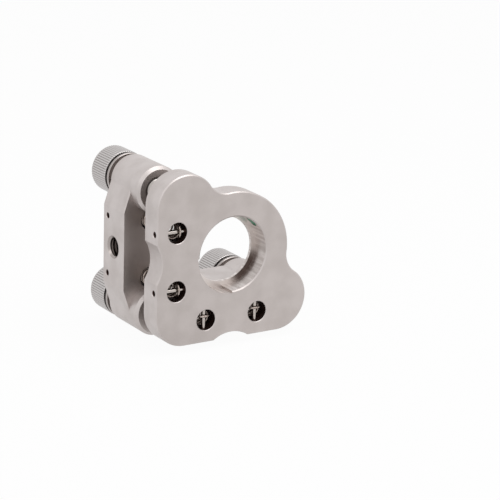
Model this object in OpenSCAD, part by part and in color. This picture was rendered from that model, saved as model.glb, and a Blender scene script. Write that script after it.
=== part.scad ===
// Kinematic mirror mount for a 20 mm optic, with three fine-pitch adjusters.
// Origin: on the optic's axis, in the plane of the seat that the optic rests against.
// -Y points out through the front of the mount, +Y to the knobs, +X to the right, +Z up.
// Corners: ul is upper left, ll is lower left and lr is lower right, seen from the front.

/* [Frame] */
// Width and height of the square that the front plate and the bosses fill
frame_w = 45.7; // [45.2:0.1:48]
// Chamfer on the edges of both plates
edge = 0.3; // [0.2:0.1:0.6]
// Space between the back of the front plate and the arms of the rear plate
plate_gap = 7.6; // [6.6:0.1:9]

/* [Front plate] */
// Thickness of the front plate
front_t = 6.5; // [6.4:0.1:7.4]
// Radius of the three corner lobes
lobe_r = 8.6; // [8:0.1:9.2]
// Outer radius of the ring around the optic
ring_r = 16.7; // [16:0.1:17]
// Radius of the hollows between the ring and the lobes
hollow_r = 6.3; // [5.5:0.1:7.5]
// Radius of the shallow notch in the left and bottom edges
notch_r = 9.2; // [7:0.1:11]
// Depth of those notches
notch_d = 1.6; // [0.8:0.1:2]

/* [Optic bore] */
// Diameter of the optic
optic_d = 20; // [19:0.1:20.4]
// Radial clearance around the optic
optic_clear = 0.05; // [0.02:0.01:0.15]
// Depth of the bore from the front face to the seat
seat_depth = 5.3; // [4.6:0.1:5.6]
// Width of the seat's ledge
seat_ledge = 1.35; // [0.8:0.05:1.8]
// Chamfer at the mouths of the bore
bore_edge = 0.3; // [0.1:0.05:0.5]
// Angle of the relief opposite the clamp screw, which leaves two lines of contact
relief_angle = 90; // [60:1:96]
// Depth of the relief beyond the bore
relief_d = 0.5; // [0.2:0.1:0.8]

/* [Clamp screw] */
// Radius of the tapped hole for the clamp screw, across its crests
clamp_hole_r = 1.7; // [1.6:0.05:1.8]
// Distance of the clamp screw's axis behind the front face
clamp_y = 3; // [2.6:0.1:3.2]
// Length of the clamp screw's metal body
clamp_l = 3.6; // [3:0.1:4]
// Length of the nylon tip
tip_l = 2.2; // [1.6:0.1:3]
// How far the tip lies back from the bore's wall, with the screw backed off
tip_back = 0.1; // [0.05:0.05:0.5]
// Size across flats of the clamp screw's hexagon socket
clamp_key = 1.5; // [1.3:0.1:1.8]

/* [Rear plate] */
// Thickness of the rear plate
rear_t = 10.7; // [10:0.1:12]
// Width of the rear plate's arms beside the bosses
arm_w = 11.2; // [10.8:0.1:12.2]
// How far the arms' seating pads stand out past the frame, so that the front plate clears the post
pad_out = 2; // [0.6:0.1:2.6]
// Length of the flat of those pads
pad_l = 21; // [19.4:0.2:24]
// Fillet in the inner corner of the two arms
inner_r = 4; // [2:0.1:5]
// Radius of the bosses, which meet the outer faces of the frame
boss_r = 6.35; // [6.1:0.05:6.5]
// Space between the front plate and the front faces of the bosses
boss_gap = 3.85; // [2.4:0.05:5]
// Chamfer on the front rims of the bosses
boss_edge = 0.8; // [0.4:0.1:1]
// Radius of the tapped holes for the post, across the thread's crests
tap_r = 2.5; // [2:0.05:2.6]
// Depth of those holes
tap_d = 10; // [7:0.1:11]
// Chamfer at their mouths
tap_edge = 0.55; // [0.3:0.05:0.7]

/* [Adjusters] */
// Radius of the adjuster screws
screw_r = 3; // [2.8:0.05:3.1]
// Radial clearance between a moving screw and what it turns in
run_clear = 0.05; // [0.03:0.01:0.08]
// Radial clearance of pieces that are pressed together
press_clear = 0.01; // [0.01:0.005:0.02]
// Radius of the bushing's barrel
barrel_r = 4; // [3.8:0.05:4.3]
// Radius of the bushing's neck behind the boss
neck_r = 5; // [4.7:0.1:5.4]
// Length of that neck
neck_l = 1.8; // [0.6:0.05:2.2]
// Radius of the bushing's flange
flange_r = 6.1; // [5.6:0.05:6.2]
// Thickness of the flange
flange_t = 0.85; // [0.7:0.05:1.4]
// Space between the flange and the knob
knob_gap = 0.95; // [0.85:0.05:1.3]
// Radius of the knobs over the knurl
knob_r = 6.25; // [6:0.05:6.3]
// Length of the knobs
knob_l = 7.55; // [6:0.05:8]
// Chamfer on the knobs' rims
knob_edge = 0.5; // [0.3:0.1:0.8]
// Number of grooves in the knurl
knurl_count = 60; // [48:2:72]
// Depth of the grooves
knurl_d = 0.16; // [0.1:0.02:0.24]
// Depth of the round recess in a knob's end
dish_d = 0.6; // [0.3:0.1:1]
// Size across flats of the adjusters' hexagon socket
screw_key = 2.5; // [2:0.1:3]
// Depth of that socket
screw_key_d = 2.2; // [1.5:0.1:3]
// Radius of the ball at the tip of each screw
ball_r = 2; // [1.8:0.05:2.1]
// Distance of the balls' centres behind the front plate's back face
ball_back = 0.85; // [0.7:0.05:1]
// Clearance between a ball and its seat
seat_gap = 0.12; // [0.1:0.01:0.2]

/* [Seats] */
// Radius of the hardened seats
seat_r = 2.9; // [2.7:0.05:3]
// Thickness of the hardened seats at the rim
seat_t = 2.9; // [2.6:0.1:3.2]
// Thickness of the flat seat
flat_t = 1.6; // [1.2:0.1:1.8]
// Clearance around a seat in its pocket
pocket_gap = 0.3; // [0.28:0.01:0.36]

/* [Springs] */
// Distance of the spring holes from the frame's outer face beside them
spring_in = 6.05; // [5.75:0.05:6.15]
// Distance of the spring holes from the nearest adjuster's axis, along the arm
spring_step = 8.7; // [8.6:0.05:9]
// Radius of the spring holes
spring_hole_r = 2.8; // [2.6:0.05:2.9]
// Radial clearance of a spring in its hole
spring_clear = 0.45; // [0.4:0.05:0.7]
// Radius of the spring wire
wire_r = 0.3; // [0.25:0.01:0.34]
// Number of turns in each spring
spring_turns = 15; // [10:1:17]
// Distance of the springs' hooks from the springs' middle, towards the inner ends of the pins
hook_aside = 0.9; // [0.4:0.05:1.1]
// Radius of the pins that hold the springs
pin_r = 0.6; // [0.5:0.05:0.7]
// Distance of the front pins from the front plate's front face
front_pin_in = 1.5; // [1.3:0.05:2.3]
// Distance of the rear pins from the rear plate's back face
rear_pin_in = 2.3; // [1.6:0.05:2.6]
// How far the pins lie below the side faces
pin_sunk = 1.5; // [1:0.1:2]
// How far the pins reach past the spring holes
pin_past = 1.6; // [1.2:0.1:2]
// Chamfer at the mouths of the pins' holes
pin_edge = 0.35; // [0.2:0.05:0.5]

/* [Hidden] */

$fn = 96;
over = 1; // how far a cutter runs past the face it opens
bite = 0.03; // how far a fillet's cutter bites into its neighbours, so that none only touches
steel = [0.72, 0.69, 0.67];
bright_steel = [0.8, 0.8, 0.8];
nylon = [0.1, 0.45, 0.33];

half = frame_w / 2;
bore_r = optic_d / 2 + optic_clear;
lip_r = bore_r - seat_ledge;

// Stations along Y, from the front face to the ends of the knobs
front_y0 = -seat_depth;
front_y1 = front_y0 + front_t;
ball_y = front_y1 + ball_back;
boss_y0 = front_y1 + boss_gap;
arm_y0 = front_y1 + plate_gap;
arm_y1 = arm_y0 + rear_t;
neck_y = arm_y1 + neck_l;
flange_y = neck_y + flange_t;
knob_y0 = flange_y + knob_gap;
knob_y1 = knob_y0 + knob_l;
bushing_y0 = boss_y0 + boss_edge;
front_pin_y = front_y0 + front_pin_in;
rear_pin_y = arm_y1 - rear_pin_in;
arm_mid_y = (arm_y0 + arm_y1) / 2;

lobe_at = half - lobe_r;
axis_at = half - boss_r;
spring_out = half - spring_in;
spring_at = axis_at - spring_step;
arm_edge = -half + arm_w;
pad_face = -half - pad_out;

// Adjusters: name, place, and the seat that its ball rests in
CORNERS = [["ul", [-axis_at, axis_at]], ["ll", [-axis_at, -axis_at]], ["lr", [axis_at, -axis_at]]];

// Springs: name, place of the hole, and whether its pins run upright
SPRINGS = [["left_upper", [-spring_out, spring_at], false],
    ["left_lower", [-spring_out, -spring_at], false],
    ["bottom_left", [-spring_at, -spring_out], true],
    ["bottom_right", [spring_at, -spring_out], true]];

// A turned form about the Y axis, from points of [radius, y]
module turned(points) {
    rotate([-90, 0, 0]) rotate_extrude() polygon(points);
}

// A prism along Y between two stations, from a plan seen from the front in [x, z]
module plate(y0, y1) {
    translate([0, y1, 0]) rotate([90, 0, 0]) linear_extrude(y1 - y0) children();
}

module at(place) {
    translate([place[0], 0, place[1]]) children();
}

// A disc with chamfered rims
module disc(r, y0, y1, rim0, rim1) {
    turned([[0, y0], [r - rim0, y0], [r, y0 + rim0], [r, y1 - rim1], [r - rim1, y1], [0, y1]]);
}

// A round cutter that leaves a chamfer at both of the faces it runs through
module flared(r, y0, y1, rim) {
    wide = r + rim + over;
    turned([[0, y0 - over], [wide, y0 - over], [r, y0 + rim], [r, y1 - rim], [wide, y1 + over],
        [0, y1 + over]]);
}

// Mirrors its children across the plate's diagonal from the lower left to the upper right
module both_arms() {
    children();
    mirror([1, 0, -1]) children();
}

// Front plate: one plate with three lobes, and a ring that holds the optic
hollow_sum = [ring_r + hollow_r, lobe_r + hollow_r];
hollow_base = lobe_at * sqrt(2);
hollow_along = (hollow_sum[0] ^ 2 - hollow_sum[1] ^ 2 + hollow_base ^ 2) / (2 * hollow_base);
hollow_aside = sqrt(hollow_sum[0] ^ 2 - hollow_along ^ 2);
hollow_at = [(hollow_aside - hollow_along) / sqrt(2), (hollow_aside + hollow_along) / sqrt(2)];

module edge_bar() {
    translate([0, 0, -lobe_at]) linear_extrude(2 * lobe_at)
        polygon([[0, front_y0], [-half + edge, front_y0], [-half, front_y0 + edge],
            [-half, front_y1 - edge], [-half + edge, front_y1], [0, front_y1]]);
}

module front_blank() {
    disc(ring_r, front_y0, front_y1, edge, edge);
    at([-lobe_at, -lobe_at]) disc(lobe_r, front_y0, front_y1, edge, edge);
    both_arms() {
        edge_bar();
        at([-lobe_at, lobe_at]) disc(lobe_r, front_y0, front_y1, edge, edge);
        plate(front_y0, front_y1) polygon([[0, 0], hollow_at, [-lobe_at, lobe_at]]);
    }
}

module optic_bore() {
    turned([[0, front_y0 - over], [bore_r + bore_edge + over, front_y0 - over],
        [bore_r, front_y0 + bore_edge], [bore_r, 0], [lip_r, 0], [lip_r, front_y1 - bore_edge],
        [lip_r + bore_edge + over, front_y1 + over], [0, front_y1 + over]]);
    reach = 2 * bore_r;
    half_angle = relief_angle / 2;
    plate(front_y0 - over, 0) rotate(225) intersection() {
        circle(bore_r + relief_d);
        polygon([[0, 0], reach * [cos(half_angle), -sin(half_angle)], [reach, 0],
            reach * [cos(half_angle), sin(half_angle)]]);
    }
}

// Places its children with +X along the clamp screw's axis, outwards from the optic
module along_clamp() {
    translate([0, front_y0 + clamp_y, 0]) rotate([0, -45, 0]) children();
}

module clamp_rod(r, from, to) {
    along_clamp() translate([from, 0, 0]) rotate([0, 90, 0]) cylinder(r = r, h = to - from);
}

// A round rod along Z, and a cutter that widens its mouth in a face at height z
module rod(r, from, to) {
    translate([0, 0, from]) cylinder(r = r, h = to - from);
}

module mouth(r, z, rim) {
    translate([0, 0, z - rim]) cylinder(r1 = r, r2 = r + rim + over, h = rim + over);
}

// Blind holes for the pins, each drilled across its spring hole from the plate's outer face
module along_pin(spring, y) {
    at(spring[1]) translate([0, y, 0]) rotate(spring[2] ? [180, 0, 0] : [0, -90, 0]) children();
}

module pin_hole(spring, y, out) {
    along_pin(spring, y) {
        rod(pin_r + press_clear, -spring_hole_r - pin_past, out + over);
        mouth(pin_r, out, pin_edge);
    }
}

module front_plate() {
    color(steel) difference() {
        front_blank();
        both_arms() {
            at(hollow_at) flared(hollow_r + bite, front_y0, front_y1, edge);
            at([-half - notch_r + notch_d, 0]) flared(notch_r, front_y0, front_y1, edge);
        }
        optic_bore();
        clamp_rod(clamp_hole_r, bore_r / 2, ring_r + over);
        for (spring = SPRINGS) {
            at(spring[1]) flared(spring_hole_r, front_y0, front_y1, edge / 2);
            pin_hole(spring, front_pin_y, spring_in);
        }
        for (corner = CORNERS) at(corner[1]) pocket(corner[0]);
    }
}

// Seats: one cone, one groove and one flat, each in a pocket in the plate's back face
flat_y = ball_y - ball_r - seat_gap;
apex_y = ball_y - (ball_r + seat_gap) * sqrt(2);

module pocket(corner) {
    floor_y = (corner == "lr" ? flat_y - flat_t : front_y1 - seat_t) - pocket_gap;
    turned([[0, floor_y], [seat_r + pocket_gap, floor_y], [seat_r + pocket_gap, front_y1 + over],
        [0, front_y1 + over]]);
}

module seat_blank() {
    disc(seat_r, front_y1 - seat_t, front_y1, edge / 2, edge / 2);
}

module cone_seat() {
    mouth = front_y1 + over - apex_y;
    color(bright_steel) at(CORNERS[1][1]) difference() {
        seat_blank();
        turned([[0, apex_y], [mouth, front_y1 + over], [0, front_y1 + over]]);
    }
}

module groove_seat() {
    mouth = front_y1 + over - apex_y;
    color(bright_steel) at(CORNERS[0][1]) difference() {
        seat_blank();
        translate([0, 0, -seat_r - over]) linear_extrude(2 * (seat_r + over))
            polygon([[0, apex_y], [mouth, front_y1 + over], [-mouth, front_y1 + over]]);
    }
}

module flat_seat() {
    color(bright_steel) at(CORNERS[2][1]) disc(seat_r, flat_y - flat_t, flat_y, edge / 2, edge / 2);
}

// Rear plate: an L of two arms with a boss for an adjuster at each end and at the corner. The
// outer side of an arm steps out to a flat seating pad, and slopes back to the bosses.
module arm_bar() {
    sections = [[-axis_at, -half], [-pad_l / 2, pad_face], [pad_l / 2, pad_face],
        [axis_at, -half]];
    points = [for (section = sections) let (z = section[0], out = section[1])
        each [[out + edge, arm_y0, z], [out, arm_y0 + edge, z], [out, arm_y1 - edge, z],
            [out + edge, arm_y1, z], [arm_edge - edge, arm_y1, z], [arm_edge, arm_y1 - edge, z],
            [arm_edge, arm_y0 + edge, z], [arm_edge - edge, arm_y0, z]]];
    corners = 8;
    last = len(points) - corners;
    walls = [for (from = [0 : corners : last - corners], k = [0 : corners - 1])
        let (next = (k + 1) % corners)
        [from + k, from + next, from + corners + next, from + corners + k]];
    polyhedron(points, concat(walls, [[for (k = [corners - 1 : -1 : 0]) k],
        [for (k = [0 : corners - 1]) last + k]]));
}

module boss() {
    disc(boss_r, boss_y0, arm_y1, boss_edge, edge);
}

// Blind hole in the middle of a seating pad, tapped for the post's screw
module post_hole() {
    translate([0, arm_mid_y, 0]) rotate([0, -90, 0]) {
        rod(tap_r, -pad_face - tap_d, -pad_face + over);
        mouth(tap_r, -pad_face, tap_edge);
    }
}

module inner_fillet() {
    at([arm_edge, arm_edge]) plate(arm_y0 + edge, arm_y1 - edge) difference() {
        translate([-over, -over]) square(inner_r + over);
        translate([inner_r, inner_r]) circle(inner_r + bite);
    }
}

module rear_plate() {
    color(steel) difference() {
        union() {
            both_arms() arm_bar();
            for (corner = CORNERS) at(corner[1]) boss();
            inner_fillet();
        }
        for (corner = CORNERS) at(corner[1])
            plate(boss_y0 - over, arm_y1 + over) circle(barrel_r + press_clear);
        for (spring = SPRINGS) {
            at(spring[1]) plate(boss_y0 - over, arm_y1 + over) circle(spring_hole_r);
            pin_hole(spring, rear_pin_y, spring_in + pad_out);
        }
        both_arms() post_hole();
    }
}

// Bushing: pressed into the boss from behind, with the fine thread for the screw
module bushing() {
    hole = screw_r + run_clear;
    color(bright_steel) turned([[hole, bushing_y0], [barrel_r, bushing_y0], [barrel_r, arm_y1],
        [neck_r, arm_y1], [neck_r, neck_y], [flange_r - edge / 2, neck_y],
        [flange_r, neck_y + edge / 2], [flange_r, flange_y - edge / 2],
        [flange_r - edge / 2, flange_y], [hole, flange_y]]);
}

// Adjuster screw, with the ball in its nose and the hexagon socket in its end
module screw() {
    nose_y = ball_y + ball_r * 0.3;
    nose_r = ball_r + 0.4;
    end_y = knob_y1 - dish_d - 0.2;
    color(bright_steel) difference() {
        turned([[0, nose_y], [nose_r, nose_y], [screw_r, nose_y + screw_r - nose_r],
            [screw_r, end_y - edge / 2], [screw_r - edge / 2, end_y], [0, end_y]]);
        translate([0, ball_y, 0]) sphere(r = ball_r + press_clear);
        plate(end_y - screw_key_d, end_y + over) circle(d = screw_key / cos(30), $fn = 6);
    }
}

module ball() {
    color(bright_steel) translate([0, ball_y, 0]) sphere(r = ball_r);
}

// Knob: turned, with a fine straight knurl, pressed onto the screw
module knob() {
    step = 180 / knurl_count;
    color(steel) difference() {
        intersection() {
            plate(knob_y0, knob_y1) polygon([for (i = [0 : 2 * knurl_count - 1])
                (knob_r - (i % 2) * knurl_d) * [cos(i * step), sin(i * step)]]);
            disc(knob_r + bite, knob_y0, knob_y1, knob_edge, knob_edge);
        }
        plate(knob_y0 - over, knob_y1 + over) circle(screw_r + press_clear);
        plate(knob_y1 - dish_d, knob_y1 + over) circle(knob_r - 2 * knob_edge);
    }
}

module pin(spring, y, out) {
    color(bright_steel) along_pin(spring, y)
        rod(pin_r, -spring_hole_r - pin_past + edge / 2, out - pin_sunk);
}

// Spring: wire swept along a coil that ends in a side hook over each pin
coil_r = spring_hole_r - spring_clear - wire_r;
hook_r = sqrt(coil_r ^ 2 - hook_aside ^ 2);
hook_rise = hook_r - wire_r - pin_r - seat_gap;
coil_y0 = front_pin_y + hook_rise;
coil_y1 = rear_pin_y - hook_rise;
wire_sides = 6;
coil_steps = 12;
coil_from = 135; // where the coil leaves the rear hook, round the spring's axis
hook_step = 15;

// Each point of the wire's path is [place, outward normal]; way is -1 at the front hook, 1 behind.
// A hook's arc, and the turn that bends from the coil's end (u = 0) to that arc's end (u = 1),
// are given as directions from the middle of a ball of the coil's radius.
function unit(v) = v / norm(v);
function hook_arc(a, way) = [hook_aside, way * hook_r * sin(a), hook_r * cos(a)] / coil_r;
function hook_turn(u, way) = let (from = [-way, 0, 1] * sqrt(0.5), to = hook_arc(45, way))
    unit((1 - u) ^ 3 * from + 3 * u * (1 - u) ^ 2 * (from + 0.5 * [way, 0, 1])
        + 3 * u ^ 2 * (1 - u) * (to + 0.4 * [0, -way, 1]) + u ^ 3 * to);
function on_ball(v, y) = [[0, y, 0] + coil_r * v, v];
function coil_point(t) = let (a = coil_from + t * (360 * spring_turns - 90), v = [cos(a), 0, sin(a)])
    [[0, coil_y1 + t * (coil_y0 - coil_y1), 0] + coil_r * v, v];

coil_count = spring_turns * coil_steps;
spring_path = concat(
    [for (i = [7 : -1 : 1]) on_ball(hook_arc(45 + i * hook_step, 1), coil_y1)],
    [for (i = [3 : -1 : 1]) on_ball(hook_turn(i / 3, 1), coil_y1)],
    [for (i = [0 : coil_count]) coil_point(i / coil_count)],
    [for (i = [1 : 3]) on_ball(hook_turn(i / 3, -1), coil_y0)],
    [for (i = [1 : 7]) on_ball(hook_arc(45 + i * hook_step, -1), coil_y0)]);

module wire(path) {
    last = len(path) - 1;
    points = [for (i = [0 : last]) let (
            tangent = unit(path[min(i + 1, last)][0] - path[max(i - 1, 0)][0]),
            side = unit(cross(tangent, path[i][1])),
            out = cross(side, tangent))
        for (k = [0 : wire_sides - 1]) let (a = 360 * k / wire_sides)
            path[i][0] + wire_r * (cos(a) * out + sin(a) * side)];
    walls = [for (i = [0 : last - 1], k = [0 : wire_sides - 1]) let (
            a = i * wire_sides + k, b = i * wire_sides + (k + 1) % wire_sides)
        each [[a, b, a + wire_sides], [b, b + wire_sides, a + wire_sides]]];
    ends = [[for (k = [wire_sides - 1 : -1 : 0]) k],
        [for (k = [0 : wire_sides - 1]) last * wire_sides + k]];
    polyhedron(points, concat(walls, ends));
}

module spring(spring) {
    color(steel) at(spring[1]) rotate([0, spring[2] ? -90 : 0, 0]) wire(spring_path);
}

// Clamp screw: a set screw in the ring, with a nylon tip that presses on the optic
tip_from = bore_r + tip_back;
clamp_from = tip_from + tip_l;

module clamp_screw() {
    clamp_to = clamp_from + clamp_l;
    color(bright_steel) difference() {
        clamp_rod(clamp_hole_r - run_clear, clamp_from, clamp_to);
        along_clamp() translate([clamp_to - clamp_l / 2, 0, 0]) rotate([0, 90, 0])
            cylinder(d = clamp_key / cos(30), h = clamp_l, $fn = 6);
    }
}

module clamp_tip() {
    color(nylon) clamp_rod(clamp_hole_r - run_clear, tip_from, clamp_from);
}

rear_plate();
front_plate();
cone_seat();
groove_seat();
flat_seat();
for (corner = CORNERS) at(corner[1]) {
    bushing();
    screw();
    ball();
    knob();
}
for (spring = SPRINGS) {
    pin(spring, rear_pin_y, spring_in + pad_out);
    pin(spring, front_pin_y, spring_in);
    spring(spring);
}
clamp_screw();
clamp_tip();
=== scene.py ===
import bpy
import numpy as np
from mathutils import Matrix, Vector


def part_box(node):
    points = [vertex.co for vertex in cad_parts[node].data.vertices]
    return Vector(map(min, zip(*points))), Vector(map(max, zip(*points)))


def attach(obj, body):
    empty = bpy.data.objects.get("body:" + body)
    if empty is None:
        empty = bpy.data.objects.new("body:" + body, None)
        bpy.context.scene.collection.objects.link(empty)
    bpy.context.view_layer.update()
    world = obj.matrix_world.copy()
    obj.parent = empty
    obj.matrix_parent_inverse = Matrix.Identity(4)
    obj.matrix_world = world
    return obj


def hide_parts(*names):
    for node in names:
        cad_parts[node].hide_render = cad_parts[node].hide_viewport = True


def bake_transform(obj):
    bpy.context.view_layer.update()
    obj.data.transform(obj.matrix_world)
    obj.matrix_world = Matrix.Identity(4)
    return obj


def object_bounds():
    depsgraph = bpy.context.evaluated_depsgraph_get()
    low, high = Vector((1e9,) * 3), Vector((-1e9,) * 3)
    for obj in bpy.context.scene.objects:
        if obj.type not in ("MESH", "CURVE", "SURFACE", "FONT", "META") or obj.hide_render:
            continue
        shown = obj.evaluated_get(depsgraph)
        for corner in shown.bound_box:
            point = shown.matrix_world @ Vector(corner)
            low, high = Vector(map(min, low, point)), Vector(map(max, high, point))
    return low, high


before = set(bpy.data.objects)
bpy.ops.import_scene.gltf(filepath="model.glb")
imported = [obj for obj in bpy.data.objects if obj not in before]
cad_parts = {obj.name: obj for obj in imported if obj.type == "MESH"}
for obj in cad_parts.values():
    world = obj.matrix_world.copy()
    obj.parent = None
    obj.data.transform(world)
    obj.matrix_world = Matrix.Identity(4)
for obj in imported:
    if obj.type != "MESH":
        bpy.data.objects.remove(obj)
cad_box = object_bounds()


# Rear plate: an L milled from one block of stainless steel, with a boss at each end and at the corner.
# It is blasted to an even satin after milling, and its edges are broken with a fine chamfer.
# Each arm has a seating pad with a tapped M6 hole for a post, and two drilled holes for its springs.
class Value:
    """A number or vector that varies over a surface. Arithmetic on it adds that operator's Math node."""

    def __init__(self, finish, socket):
        self.finish, self.socket = finish, socket

    def math(self, operation, *values):
        return self.finish.node("Math", {"operation": operation}, dict(enumerate(values)))

    def __add__(self, other):
        return self.math("ADD", self, other)

    def __sub__(self, other):
        return self.math("SUBTRACT", self, other)

    def __rsub__(self, other):
        return self.math("SUBTRACT", other, self)

    def __mul__(self, other):
        return self.math("MULTIPLY", self, other)

    def __truediv__(self, other):
        return self.math("DIVIDE", self, other)

    def __pow__(self, other):
        return self.math("POWER", self, other)

    def __abs__(self):
        return self.math("ABSOLUTE", self)

    __radd__, __rmul__ = __add__, __mul__

    def ramp(self, start, end):
        """0 before start and 1 after end, with a smooth step between them."""
        return self.finish.node("MapRange", {"interpolation_type": "SMOOTHSTEP"}, {0: self, 1: start, 2: end})

    def parts(self):
        """The three numbers of a vector."""
        return [self.finish.node("SeparateXYZ", {}, {0: self}, out) for out in range(3)]


class Finish:
    """The nodes of one material or of the room's light."""

    def __init__(self, owner):
        self.owner = owner
        owner.use_nodes = True
        owner.node_tree.nodes.clear()

    def node(self, kind, settings, sockets, out=0):
        """Adds a node of a kind: its settings are set first, then its sockets get their values or links."""
        made = self.owner.node_tree.nodes.new("ShaderNode" + kind)
        for name, value in settings.items():
            setattr(made, name, value)
        for name, value in sockets.items():
            if isinstance(value, Value):
                self.owner.node_tree.links.new(value.socket, made.inputs[name])
            else:
                made.inputs[name].default_value = value
        return Value(self, made.outputs[out]) if len(made.outputs) else None

    def place(self):
        """Where a point of the piece is, in metres."""
        return self.node("TexCoord", {}, {}, "Object")

    def facing(self):
        """The direction that the surface faces at a point."""
        return self.node("TexCoord", {}, {}, "Normal")

    def grain(self, size, detail=2.0):
        """Noise around 0.5 whose spots measure size = (x, y, z) in metres, so unequal sizes make streaks."""
        spread = self.node("Mapping", {}, {"Vector": self.place(), "Scale": [1 / s for s in size]})
        return self.node("TexNoise", {}, {"Vector": spread, "Scale": 1.0, "Detail": detail})

    def blend(self, share, first, second):
        """A colour that goes from the first to the second as share goes from 0 to 1."""
        return self.node("Mix", {"data_type": "RGBA"}, {0: share, 6: first, 7: second}, 2)

    def relief(self, height, depth):
        """Normals that show height, from 0 to 1, as a relief of that depth in metres."""
        return self.node("Bump", {}, {"Height": height, "Distance": depth, "Strength": 1.0})

    def surface(self, **sockets):
        """Ends the tree in one Principled shader with these sockets."""
        names = {name.replace("_", " ").title().replace("Ior", "IOR"): value for name, value in sockets.items()}
        shader = self.node("BsdfPrincipled", {}, names)
        self.node("OutputMaterial", {}, {"Surface": shader})
        return self.owner


def shade(red, green, blue):
    """A colour as it shows on a screen, from 0 to 255, turned into the linear values that a shader takes."""
    screen = np.array([red, green, blue]) / 255
    linear = np.where(screen < 0.04045, screen / 12.92, ((screen + 0.055) / 1.055) ** 2.4)
    return [*linear.tolist(), 1.0]


def finish_node(node, material):
    """Gives a CAD node its material in place of the plain one that it was packed with."""
    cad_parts[node].data.materials.clear()
    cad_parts[node].data.materials.append(material)


def middle(node):
    """The centre of a CAD node's box."""
    low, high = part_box(node)
    return np.array((low + high) / 2)


SPRING_PLACES = ["left_upper", "left_lower", "bottom_left", "bottom_right"]
spring_axes = [middle("spring_" + place)[[0, 2]] for place in SPRING_PLACES]
spring_hole_radius, wall_margin, wall_fade = 2.8e-3, 0.02e-3, 0.06e-3


def within(across, up, radius):
    """1 on the wall of a round hole and inside it, and 0 outside, from the place across the hole's axis."""
    return 1 - ((across ** 2 + up ** 2) ** 0.5).ramp(radius + wall_margin, radius + wall_fade)


def spring_walls(finish):
    """1 on the walls of the four spring holes, which run along Y through both plates."""
    x, y, z = finish.place().parts()
    inside = 0.0
    for axis in spring_axes:
        inside = inside + within(x - axis[0], z - axis[1], spring_hole_radius)
    return inside * (1 - abs(finish.facing().parts()[1]).ramp(0.1, 0.3))


pin_hole_radius, past_pin, pin_hole_fade = 0.75e-3, 0.3e-3, 0.5e-3


def pin_walls(finish, side):
    """1 on the walls of the four holes that take a plate's pins, as far as just past each pin's inner end: two
    holes run along X and two along Z from the plate's edges."""
    x, y, z = finish.place().parts()
    out_x, out_y, out_z = finish.facing().parts()
    inside = 0.0
    for place in SPRING_PLACES:
        low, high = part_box(f"{side}_pin_{place}")
        pin = (low + high) / 2
        if place.startswith("bottom"):
            along, across, ahead, end = z, x - pin.x, out_z, high.z
        else:
            along, across, ahead, end = x, z - pin.z, out_x, high.x
        wall = within(y - pin.y, across, pin_hole_radius) * (1 - abs(ahead).ramp(0.75, 0.9))
        inside = inside + wall * (1 - along.ramp(end + past_pin, end + pin_hole_fade))
    return inside


def satin_steel(finish, side, tone, cut, cut_colour, cut_relief):
    """Stainless steel blasted to an even satin with small clouds in it. Painted shade: its faces that look along
    Y are a little darker, and the walls of its spring and pin holes are painted dark.
    cut is 1 where a tool was used after the blasting: there the steel is shiny, in a colour and relief of its
    own."""
    satin = finish.grain((0.3e-3, 0.3e-3, 0.3e-3), 3.0)
    clouds = finish.grain((6e-3, 6e-3, 6e-3), 3.0).ramp(0.3, 0.7)
    # Painted shade: faces that look along Y take a darker tone than the plate's other faces.
    front = abs(finish.facing().parts()[1]).ramp(0.8, 0.95)
    springs = spring_walls(finish)
    # Painted shade: the walls of the spring and pin holes are painted dark.
    dark = springs.math("MAXIMUM", springs, pin_walls(finish, side))
    colour = finish.blend(front, tone, shade(198, 190, 187))
    colour = finish.blend(clouds * 0.45, colour, shade(178, 170, 166))
    colour = finish.blend(cut, colour, cut_colour)
    colour = finish.blend(dark, colour, shade(66, 48, 44))
    rough = (0.38 + 0.1 * satin + 0.04 * clouds) * (1 - 0.2 * cut) + 0.1 * dark
    return finish.surface(base_color=colour, roughness=rough, metallic=1.0,
        normal=finish.relief(0.006 * satin * (1 - cut) + cut_relief, 0.4e-3))


tap_middle, tap_radius, mouth_radius, tap_pitch = 14.15e-3, 2.5e-3, 3.05e-3, 1.0e-3


def rear_plate_steel():
    """The tapped holes run along X and along Z, each with its axis through the optic's. A thread's height is a
    zigzag along its hole that climbs one pitch each turn. Its wall is painted dark as shade, darkest at the
    thread's roots and lighter on its crests. The holes' mouths are countersunk, and coloured a little darker than
    the satin."""
    finish = Finish(bpy.data.materials.new("rear_plate_steel"))
    x, y, z = finish.place().parts()
    out_x, out_y, out_z = finish.facing().parts()
    tapped, mouths, wave = 0.0, 0.0, 0.0
    for along, up, ahead in ((x, z, out_x), (z, x, out_z)):
        wall = within(y - tap_middle, up, tap_radius) * (1 - abs(ahead).ramp(0.1, 0.3))
        turn = y.math("ARCTAN2", up, y - tap_middle) / (2 * np.pi)
        zigzag = 2 * finish.node("Math", {"operation": "PINGPONG"}, {0: along / tap_pitch - turn, 1: 0.5})
        tapped, wave = tapped + wall, wave + wall * zigzag
        mouths = mouths + within(y - tap_middle, up, mouth_radius) * (1 - abs(ahead).ramp(0.8, 0.95))
    # Painted shade down the tapped holes: dark at the thread's roots, lighter at its crests.
    thread_shade = finish.blend(wave, shade(38, 32, 30), shade(122, 112, 108))
    colour = finish.blend(tapped, shade(168, 160, 157), thread_shade)
    cut = mouths.math("MAXIMUM", mouths, tapped)
    return satin_steel(finish, "rear", shade(203, 196, 194), cut, colour, 0.6 * wave)


finish_node("rear_plate", rear_plate_steel())


# Bushings: turned from stainless steel and pressed into the bosses from behind, with a fine thread inside.
# The flange that shows behind each boss has the fine rings of the lathe's tool on its face.
tool_marks = 9000


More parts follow.
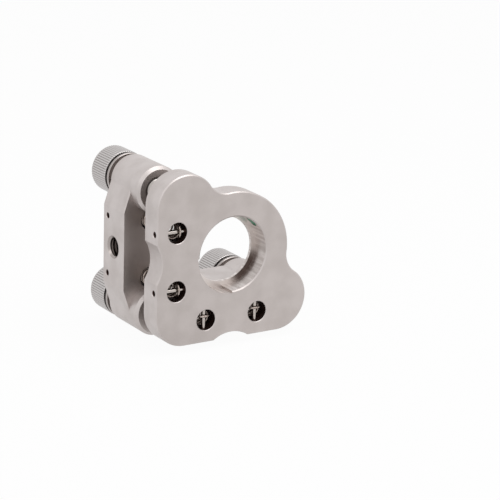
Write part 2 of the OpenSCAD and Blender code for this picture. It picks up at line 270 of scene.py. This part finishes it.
def turned_steel(name, colour, darker, roughness, axis):
    """Bright turned steel: fine rings round a line along Y through axis = (x, z), and along that line. Their
    noise changes tool_marks times in a metre."""
    finish = Finish(bpy.data.materials.new(name))
    x, y, z = finish.place().parts()
    radius = ((x - axis[0]) ** 2 + (z - axis[1]) ** 2) ** 0.5
    rings = finish.node("CombineXYZ", {}, {0: radius * tool_marks, 1: y * tool_marks})
    lathe = finish.node("TexNoise", {}, {"Vector": rings, "Scale": 1.0, "Detail": 2.0})
    clouds = finish.grain((5e-3, 5e-3, 5e-3), 1.0)
    tint = finish.blend(lathe.ramp(0.3, 0.7) * 0.6 + clouds * 0.3, colour, darker)
    return finish.surface(base_color=tint, roughness=roughness + 0.08 * lathe, metallic=1.0,
        normal=finish.relief(lathe, 4e-6))


CORNERS = ["ul", "ll", "lr"]
adjuster_axes = {corner: middle("ball_" + corner)[[0, 2]] for corner in CORNERS}
for corner, axis in adjuster_axes.items():
    finish_node("bushing_" + corner,
        turned_steel("bushing_steel_" + corner, shade(184, 177, 174), shade(152, 145, 142), 0.28, axis))


# Adjuster screws: M6 with a very fine thread of 0.25 mm pitch, turned and ground from hard stainless steel.
# The thread shows in front of the bushings and between their flanges and the knobs.
# The end behind the knob has a hexagon socket.
sharp_edge = np.radians(32)


def skin(name, rings, start=None, end=None):
    """A closed skin over rings of points [ring, point, xyz]: four-sided faces join each ring to the next.
    Triangles close the ends at the points start and end, or the last ring joins the first where none is given."""
    count, around = rings.shape[:2]
    here = np.arange(count * around).reshape(count, around)
    beside = np.roll(here, -1, axis=1)
    points, faces = rings.reshape(-1, 3), []
    if start is None:
        here, beside = np.vstack([here, here[:1]]), np.vstack([beside, beside[:1]])
    else:
        first = np.stack([here[0], beside[0], np.full(around, len(points))], axis=-1)
        last = np.stack([beside[-1], here[-1], np.full(around, len(points) + 1)], axis=-1)
        points, faces = np.concatenate([points, [start, end]]), first.tolist() + last.tolist()
    walls = np.stack([here[:-1], here[1:], beside[1:], beside[:-1]], axis=-1).reshape(-1, 4)
    mesh = bpy.data.meshes.new(name)
    mesh.from_pydata(points.tolist(), [], walls.tolist() + faces)
    mesh.shade_smooth()
    mesh.set_sharp_from_angle(angle=sharp_edge)
    piece = bpy.data.objects.new(name, mesh)
    bpy.context.scene.collection.objects.link(piece)
    return piece


def dress(piece, material, slot, body, *nodes):
    """Gives a piece its material, lets it ride on a body where one is given, and hides the CAD nodes it stands
    for. slot is not used.
    """
    piece.data.materials.append(material)
    if nodes:
        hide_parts(*nodes)
    if body:
        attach(piece, body)


def lathe_turned(profile, axis, around, shape=1.0):
    """Rings of a form turned about a line along Y: each [radius, y] of the profile is carried round the axis, and
    shape multiplies the radius where the form isn't round."""
    radius, along = np.array(profile).T[:, :, None]
    angle = np.linspace(0, 2 * np.pi, around, endpoint=False)
    radius = radius * shape
    across, up = axis[0] + radius * np.cos(angle), axis[1] + radius * np.sin(angle)
    return np.stack([across, along + 0 * radius, up], axis=-1)


def carried(path, out, profile):
    """Rings made by carrying a closed profile along a path. Each point of the profile is [outwards, sideways]:
    outwards is the direction out made square to the path, and sideways is square to both."""
    along = np.gradient(path, axis=0)
    side = np.cross(along, out)
    side /= np.linalg.norm(side, axis=1, keepdims=True)
    out = np.cross(side, along)
    out /= np.linalg.norm(out, axis=1, keepdims=True)
    return path[:, None] + profile[..., :1] * out[:, None] + profile[..., 1:] * side[:, None]


screw_radius, screw_root, screw_pitch = 3.0e-3, 2.9e-3, 0.25e-3
nose_radius, nose_mouth, end_chamfer = 2.4e-3, 2.0e-3, 0.25e-3
socket_flats, socket_depth, socket_point = 2.5e-3, 2.2e-3, 0.5e-3
socket_chamfer, socket_chamfer_depth = 0.25e-3, 0.12e-3
screw_columns = 96
thread_stretches = [(3.2e-3, 6.7e-3), (20.6e-3, 23.0e-3)]
shank_start = 23.15e-3


def adjuster_screw(corner, axis):
    """A round bar from a nose round the ball to a chamfered end, with a hexagon sunk into that end. The hexagon's
    radius at an angle is half its flats over the cosine of the angle from the nearest flat's middle."""
    low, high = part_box("screw_" + corner)
    nose, end = low.y, high.y
    angle = np.linspace(0, 360, screw_columns, endpoint=False)
    hexagon = 1 / np.cos(np.radians((angle + 30) % 60 - 30))
    half = socket_flats / 2
    profile = [[nose_mouth, nose], [nose_radius, nose], [screw_root, nose + screw_root - nose_radius],
        [screw_root, shank_start], [screw_radius, shank_start], [screw_radius, end - end_chamfer],
        [screw_radius - end_chamfer, end], [half + socket_chamfer, end],
        [half, end - socket_chamfer_depth], [half, end - socket_depth]]
    shape = np.ones((len(profile), screw_columns))
    shape[-3:] = hexagon
    rings = lathe_turned(profile, axis, screw_columns, shape)
    return skin("adjuster_screw_" + corner, rings, [axis[0], nose, axis[1]],
        [axis[0], end - socket_depth - socket_point, axis[1]])


thread_steps, crest_proud, foot_sunk, foot_share = 40, 0.03e-3, 0.02e-3, 0.48


def screw_thread(name, axis, start, end):
    """A ridge of three corners carried along a helix that climbs one pitch each turn. Its foot is sunk a little
    into the screw, and its crest stands as proud of the screw's radius as crest_proud says."""
    turns = (end - start) / screw_pitch
    angle = np.linspace(0, 2 * np.pi * turns, int(turns * thread_steps))
    outward = np.stack([np.cos(angle), 0 * angle, np.sin(angle)], axis=-1)
    path = outward * screw_root + [axis[0], start, axis[1]]
    path[:, 1] += angle / (2 * np.pi) * screw_pitch
    foot, crest = foot_share * screw_pitch, screw_radius + crest_proud - screw_root
    ridge = np.array([[crest, 0], [-foot_sunk, -foot], [-foot_sunk, foot]])
    return skin(name, carried(path, outward, ridge), path[0], path[-1])


for corner, axis in adjuster_axes.items():
    steel = turned_steel("screw_steel_" + corner, shade(196, 190, 186), shade(168, 161, 157), 0.25, axis)
    dress(adjuster_screw(corner, axis), steel, "screw_steel", "adjuster_" + corner, "screw_" + corner)
    for number, (start, end) in enumerate(thread_stretches):
        dress(screw_thread(f"screw_thread_{corner}_{number}", axis, start, end), steel, "screw_steel",
            "adjuster_" + corner)


# Balls and seats: a ball of hardened and polished steel is pressed into the nose of each adjuster.
# Its seat, a cone, a groove or a flat of the same steel, is ground and pressed into the front plate's back.
def hard_steel(name, colour, roughness, mark):
    """Ground or polished hard steel: nearly smooth, with faint marks of size mark in metres."""
    finish = Finish(bpy.data.materials.new(name))
    marks = finish.grain(mark, 3.0)
    worn = finish.blend(marks.ramp(0.35, 0.75) * 0.5, shade(*colour), shade(*[0.84 * c for c in colour]))
    return finish.surface(base_color=worn, roughness=roughness + 0.06 * marks, metallic=1.0,
        normal=finish.relief(marks, 2e-6))


ball_steel = hard_steel("ball_steel", (205, 204, 204), 0.1, (1e-3, 1e-3, 1e-3))
seat_steel = hard_steel("seat_steel", (186, 184, 183), 0.22, (1.5e-3, 1.5e-3, 0.1e-3))
for corner in CORNERS:
    finish_node("ball_" + corner, ball_steel)
for seat in ["cone_seat", "groove_seat", "flat_seat"]:
    finish_node(seat, seat_steel)


# Knobs: turned from stainless steel bar with a straight knurl, pressed onto the ends of the adjusters.
# The rims are chamfered through the knurl, and the end is dished round the adjuster's socket.
knurl_count, knurl_columns, knurl_depth = 60, 8, 0.17e-3
knob_front_rim, knob_rim, knob_dish, knob_end_rim = 0.2e-3, 0.5e-3, 0.6e-3, 1.0e-3
knob_edge, knob_seam, dish_slope, groove_sharpness = 0.1e-3, 0.02e-3, 0.15e-3, 0.7


def knob(corner, axis):
    """A short drum with chamfered rims and a round dish in its end. On its side the radius falls into a groove
    knurl_count times round: the depth is one less a power of the absolute sine of the angle, and fades out down
    the chamfers."""
    low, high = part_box("knob_" + corner)
    radius, start, end = (high.x - low.x) / 2, low.y, high.y
    bore = screw_radius
    dish = radius - knob_end_rim
    profile = np.array([[bore, start + knob_edge], [bore + knob_edge, start], [radius - knob_front_rim, start],
        [radius - 0.5 * knob_front_rim, start + 0.5 * knob_front_rim], [radius, start + knob_front_rim],
        [radius, start + knob_front_rim + knob_seam], [radius, end - knob_rim - knob_seam],
        [radius, end - knob_rim], [radius - 0.5 * knob_rim, end - 0.5 * knob_rim], [radius - knob_rim, end],
        [dish + knob_edge, end], [dish, end - knob_edge], [dish, end - knob_dish + dish_slope],
        [dish - dish_slope, end - knob_dish], [bore + knob_edge, end - knob_dish],
        [bore, end - knob_dish - knob_edge]])
    angle = np.linspace(0, np.pi * knurl_count, knurl_count * knurl_columns, endpoint=False)
    groove = 1 - np.abs(np.sin(angle)) ** groove_sharpness
    cut = np.clip((profile[:, 0] - radius + knurl_depth) / knurl_depth, 0, 1)[:, None]
    shape = 1 - cut * groove * knurl_depth / radius
    rings = lathe_turned(profile, axis, knurl_count * knurl_columns, shape)
    return skin("knurled_knob_" + corner, rings)


def knob_steel(corner, axis):
    """Satin steel painted darker down in the knurl's grooves, on its side and on the chamfered rims at its two
    ends: painted shade.
    """
    finish = Finish(bpy.data.materials.new("knob_steel_" + corner))
    x, y, z = finish.place().parts()
    radius = ((x - axis[0]) ** 2 + (z - axis[1]) ** 2) ** 0.5
    angle = x.math("ARCTAN2", z - axis[1], x - axis[0])
    groove = 1 - abs(angle.math("SINE", angle * (knurl_count / 2)))
    side = 1 - abs(finish.facing().parts()[1]).ramp(0.8, 0.9)
    # Painted shade down in the knurl's grooves.
    knurl_shade = groove.ramp(0.35, 0.95) * radius.ramp(5.6e-3, 5.8e-3) * side
    satin = finish.grain((0.25e-3, 0.25e-3, 0.25e-3), 3.0)
    colour = finish.blend(satin.ramp(0.3, 0.7) * 0.5, shade(196, 192, 191), shade(182, 178, 176))
    colour = finish.blend(knurl_shade, colour, shade(160, 155, 153))
    return finish.surface(base_color=colour, roughness=0.3 + 0.12 * satin, metallic=1.0,
        normal=finish.relief(satin, 3e-6))


for corner, axis in adjuster_axes.items():
    dress(knob(corner, axis), knob_steel(corner, axis), "knob_steel", "adjuster_" + corner,
        "knob_" + corner)


# Front plate: one stainless steel plate with three lobes, milled and blasted like the rear plate.
# Its ring holds the optic against two lines in the bore, opposite the tapped hole of the clamp screw.
bore_wall_radius, dark_side = 10.55e-3, np.radians(-40)
seat_near, seat_far = 0.1e-3, 0.3e-3


def front_plate_steel():
    """The bore is cut after the blasting, so that its wall is shiny with faint streaks along it. The seat at the
    bottom of the bore faces the front, and it carries a painted reflection of the rings that the tool left on it:
    painted shade across one diameter, light across the other. The painted shade follows the square of the cosine
    of the angle round the bore from dark_side."""
    finish = Finish(bpy.data.materials.new("front_plate_steel"))
    x, y, z = finish.place().parts()
    flat = abs(finish.facing().parts()[1])
    bored = within(x, z, bore_wall_radius)
    wall = bored * (1 - flat.ramp(0.3, 0.6))
    seat = bored * flat.ramp(0.8, 0.95) * (1 - abs(y).ramp(seat_near, seat_far))
    streaks = finish.grain((0.9e-3, 12e-3, 0.9e-3), 2.0).ramp(0.35, 0.65)
    # Painted reflection on the seat: dark across the diameter at dark_side, light across the other.
    bowtie_reflection = ((x * np.cos(dark_side) + z * np.sin(dark_side)) / (x ** 2 + z ** 2) ** 0.5) ** 2
    colour = finish.blend(streaks, shade(224, 217, 214), shade(195, 187, 183))
    ring = finish.blend(bowtie_reflection.ramp(0.55, 0.95), shade(220, 213, 209), shade(96, 84, 79))
    colour = finish.blend(seat, colour, ring)
    return satin_steel(finish, "front", shade(204, 197, 195), wall + seat, colour, 0.003 * streaks)


finish_node("front_plate", front_plate_steel())


# Dowel pins: short pieces of ground steel pin, pressed into blind holes from the plates' outer faces.
# Each crosses a spring hole, and a spring's hook hangs on it.
def pin_steel(name, axis):
    """Ground hard steel, nearly smooth, with dull ends where the pin was cropped, painted dark as shade."""
    finish = Finish(bpy.data.materials.new(name))
    marks = finish.grain((0.4e-3, 0.4e-3, 0.4e-3), 3.0)
    # Painted shade on the pin's sunk ends.
    ends = abs(finish.facing().parts()[axis]).ramp(0.6, 0.8)
    worn = finish.blend(marks.ramp(0.35, 0.75) * 0.5, shade(192, 184, 178), shade(160, 152, 146))
    return finish.surface(base_color=finish.blend(ends, worn, shade(70, 60, 56)), metallic=1.0,
        roughness=0.13 + 0.06 * marks + 0.4 * ends, normal=finish.relief(marks, 2e-6))


pin_radius, pin_round, pin_sides = 0.6e-3, 0.15e-3, 32


def circle(sides):
    """A closed circle of radius 1 as points [outwards, sideways]: the cosine and less the sine of the angle."""
    angle = np.linspace(0, 2 * np.pi, sides, endpoint=False)
    return np.stack([np.cos(angle), -np.sin(angle)], axis=-1)


def dowel_pin(node):
    """A circle carried along a straight path, whose radius shrinks by a rounded edge at both ends."""
    low, high = map(np.array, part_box(node))
    axis = int(np.argmax(high - low))
    bend = np.linspace(0, np.pi / 2, 5)
    inset = pin_round * (1 - np.sin(bend))
    back = pin_round * (1 - np.cos(bend))
    along = np.concatenate([low[axis] + back, (high[axis] - back)[::-1]])
    radii = pin_radius - np.concatenate([inset, inset[::-1]])
    path = np.tile((low + high) / 2, (len(along), 1))
    path[:, axis] = along
    out = np.roll([1.0, 0, 0], axis + 1)
    rings = carried(path, np.tile(out, (len(along), 1)), radii[:, None, None] * circle(pin_sides))
    return skin("dowel_" + node, rings, path[0], path[-1])


pin_finish = {"left": pin_steel("pin_steel_across", 0), "bottom": pin_steel("pin_steel_upright", 2)}
for body in ("front", "rear"):
    for place in SPRING_PLACES:
        node = f"{body}_pin_{place}"
        dress(dowel_pin(node), pin_finish[place.split("_")[0]], "pin_steel", body, node)


# Springs: four extension springs of drawn stainless wire, which pull the plates onto the adjusters' balls.
# Each is a coil with a side hook at either end, bent up over the coil and hung on a dowel pin.
def spring_wire():
    """Bright drawn wire, with darker patches where the drawing soap is left on it."""
    finish = Finish(bpy.data.materials.new("spring_wire"))
    worn = finish.grain((0.5e-3, 0.5e-3, 0.5e-3), 3.0)
    colour = finish.blend(worn.ramp(0.4, 0.7), shade(186, 174, 166), shade(128, 114, 106))
    return finish.surface(base_color=colour, roughness=0.26 + 0.12 * worn, metallic=1.0,
        normal=finish.relief(worn, 4e-6))


wire_radius, coil_radius, spring_turns = 0.3e-3, 2.05e-3, 15
hook_aside, hook_gap = 0.9e-3, 0.12e-3
hook_radius = (coil_radius ** 2 - hook_aside ** 2) ** 0.5
hook_rise = hook_radius - wire_radius - pin_radius - hook_gap
wire_sides, turn_steps, arc_steps, bend_steps = 14, 40, 26, 16
hook_tip_angle, hook_foot_angle, coil_start_angle = 150, 45, 135


def spring_end(bend):
    """Directions from the middle of a ball of the coil's radius: a hook's arc over its pin, and a cubic curve
    from the end of that arc into the start of the coil. bend is 1 for the rear hook and -1 for the front one."""
    arc = np.radians(np.linspace(hook_tip_angle, hook_foot_angle, arc_steps))[:, None]
    over_pin = [hook_aside + 0 * arc, bend * hook_radius * np.sin(arc), hook_radius * np.cos(arc)]
    hook = np.hstack(over_pin) / coil_radius
    coil = np.array([-bend, 0, 1]) / 2 ** 0.5
    u = np.linspace(0, 1, bend_steps)[1:-1, None]
    turn = (1 - u) ** 3 * hook[-1] + 3 * u * (1 - u) ** 2 * (hook[-1] + [0, -0.4 * bend, 0.4]) \
        + 3 * u ** 2 * (1 - u) * (coil + [0.5 * bend, 0, 0.5]) + u ** 3 * coil
    return np.vstack([hook, turn / np.linalg.norm(turn, axis=1, keepdims=True)])


def spring_path(front_pin, rear_pin):
    """The middle line of the wire about the Y axis, and the direction away from the spring's middle: the rear
    end, a helix, and the front end."""
    coil_start, coil_end = rear_pin - hook_rise, front_pin + hook_rise
    share = np.linspace(0, 1, spring_turns * turn_steps + 1)
    angle = np.radians(coil_start_angle + share * (360 * spring_turns - 90))
    round_coil = np.stack([np.cos(angle), 0 * angle, np.sin(angle)], axis=-1)
    rear, front = spring_end(1), spring_end(-1)[::-1]
    out = np.vstack([rear, round_coil, front])
    base = np.concatenate([np.full(len(rear), coil_start), coil_start + share * (coil_end - coil_start),
        np.full(len(front), coil_end)])
    path = coil_radius * out
    path[:, 1] += base
    return path, out


# The front plate tilts about three balls in turn, so each spring's one wire is made as three lengths end to end,
# one for each tilt. spring_bends lists the two bodies that each tilt joins, but here the lengths ride on no body.
spring_cuts = [8.0e-3, 4.6e-3]
spring_bends = [("rear", "lower_left_stage", 12.2e-3, 8.2e-3),
    ("lower_left_stage", "upper_left_stage", 7.8e-3, 4.8e-3), ("upper_left_stage", "front", 4.4e-3, -2.0e-3)]
spring_steel = spring_wire()
wire_profile = wire_radius * circle(wire_sides)

for place, axis in zip(SPRING_PLACES, spring_axes):
    front_pin, rear_pin = middle("front_pin_" + place)[1], middle("rear_pin_" + place)[1]
    path, out = spring_path(front_pin, rear_pin)
    if place.startswith("bottom"):
        path, out = path[:, [2, 1, 0]] * [-1, 1, 1], out[:, [2, 1, 0]] * [-1, 1, 1]
    path = path + [axis[0], 0, axis[1]]
    rings = carried(path, out, wire_profile)
    cuts = [0] + [int(np.argmax(path[:, 1] < cut)) for cut in spring_cuts] + [len(path) - 1]
    for number, (body_a, body_b, start, end) in enumerate(spring_bends):
        first, last = cuts[number], cuts[number + 1]
        piece = skin(f"spring_wire_{place}_{number}", rings[first:last + 1], path[first], path[last])
        dress(piece, spring_steel, "spring_wire", None, "spring_" + place)
        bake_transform(piece)


# Clamp screw: a set screw with a green nylon tip, tapped into the ring at 45 degrees.
# The tip presses the optic against the two lines opposite, and is soft so that it doesn't chip the glass.
def moulded_nylon():
    """Green nylon that is a little mottled inside, with fine scuffs on its skin."""
    finish = Finish(bpy.data.materials.new("green_nylon"))
    mottle = finish.grain((0.8e-3, 0.8e-3, 0.8e-3), 2.0)
    scuff = finish.grain((0.1e-3, 0.1e-3, 0.1e-3), 3.0)
    green = finish.blend(mottle.ramp(0.3, 0.7), shade(28, 118, 86), shade(70, 160, 124))
    return finish.surface(base_color=green, roughness=0.38 + 0.15 * scuff, metallic=0.0, specular_ior_level=0.5,
        normal=finish.relief(scuff, 8e-6))


finish_node("clamp_tip", moulded_nylon())
finish_node("clamp_screw", hard_steel("clamp_screw_steel", (190, 185, 182), 0.3, (0.5e-3, 0.5e-3, 0.5e-3)))


# Studio: a pale matt table under an even white room, with soft boxes above, on the left and on the right.
# The room and the table show as white to the camera and in reflections, and the table keeps the mount's shadow.
def seen(finish, mirrored=1.0):
    """1 for what the camera sees directly or through glass, mirrored for what it sees in a reflection, and 0
    for light that falls on things."""
    direct, glossy, through = [finish.node("LightPath", {}, {}, way)
        for way in ("Is Camera Ray", "Is Glossy Ray", "Is Transmission Ray")]
    return direct.math("MAXIMUM", direct, glossy.math("MAXIMUM", mirrored * glossy, through))


room_light = 0.55
room = bpy.data.worlds.new("studio_room")
bpy.context.scene.world = room
air = Finish(room)
brightness = room_light + (1 - room_light) * seen(air)
background = air.node("Background", {}, {"Color": (1, 1, 1, 1), "Strength": brightness})
air.node("OutputWorld", {}, {"Surface": background})

table_half, table_gap, table_white, table_mirrored = 3.0, 0.02e-3, 0.95, 0.9
table_z = cad_box[0].z - table_gap
table_mesh = bpy.data.meshes.new("table")
table_mesh.from_pydata([(-table_half, -table_half, table_z), (table_half, -table_half, table_z),
    (table_half, table_half, table_z), (-table_half, table_half, table_z)], [], [(0, 1, 2, 3)])
table = bpy.data.objects.new("table", table_mesh)
bpy.context.scene.collection.objects.link(table)
cloth = Finish(bpy.data.materials.new("matt_table"))
matt = cloth.node("BsdfDiffuse", {}, {"Color": (0.88, 0.88, 0.88, 1)})
white = cloth.node("Emission", {}, {"Color": (1, 1, 1, 1), "Strength": 1.0})
share = table_white * seen(cloth, table_mirrored)
cloth.node("OutputMaterial", {}, {"Surface": cloth.node("MixShader", {}, {0: share, 1: matt, 2: white})})
table_mesh.materials.append(cloth.owner)


def softbox(name, place, size, brightness):
    """A square lamp at place that faces the mount and shows as an even panel of that brightness."""
    lamp = bpy.data.lights.new(name, "AREA")
    lamp.shape, lamp.size, lamp.energy = "SQUARE", size, brightness * np.pi * size ** 2
    holder = bpy.data.objects.new(name, lamp)
    bpy.context.scene.collection.objects.link(holder)
    holder.location = place
    holder.rotation_mode = "QUATERNION"
    holder.rotation_quaternion = (-Vector(place)).to_track_quat("-Z", "Y")


softbox("softbox_above", (0.12, -0.17, 0.5), 0.42, 2.0)
softbox("softbox_left", (-0.42, -0.05, 0.34), 0.24, 1.6)
softbox("softbox_right", (0.42, -0.36, 0.12), 0.24, 0.5)


# Camera: in front of the mount, 32 degrees to its left and 17 degrees above it, half a metre away.
# Its long lens is aimed at the middle of the bore in the front face, and shifted a little to frame the mount.
camera_turn, camera_height, camera_roll = np.radians([-32.173, 17.069, 1.663])
camera_distance, focal_length, sensor_width = 0.54494, 151.77, 36
shift_across, shift_up = 0.03289, 0.00848
nearest, farthest = 0.01, 20
aim = Vector((0, cad_box[0].y, 0))
ahead = Vector((-np.sin(camera_turn) * np.cos(camera_height), np.cos(camera_turn) * np.cos(camera_height),
    -np.sin(camera_height)))
level = ahead.cross(Vector((0, 0, 1))).normalized()
upright = level.cross(ahead)
right = np.cos(camera_roll) * level + np.sin(camera_roll) * upright
above = np.cos(camera_roll) * upright - np.sin(camera_roll) * level
camera = bpy.data.objects.new("camera", bpy.data.cameras.new("camera"))
bpy.context.scene.collection.objects.link(camera)
bpy.context.scene.camera = camera
turned = Matrix((right, above, -ahead)).transposed().to_4x4()
camera.matrix_world = Matrix.Translation(aim - camera_distance * ahead) @ turned
camera.data.lens, camera.data.sensor_width = focal_length, sensor_width
camera.data.shift_x, camera.data.shift_y = shift_across, shift_up
camera.data.clip_start, camera.data.clip_end = nearest, farthest
bpy.context.scene.view_settings.view_transform = "Standard"
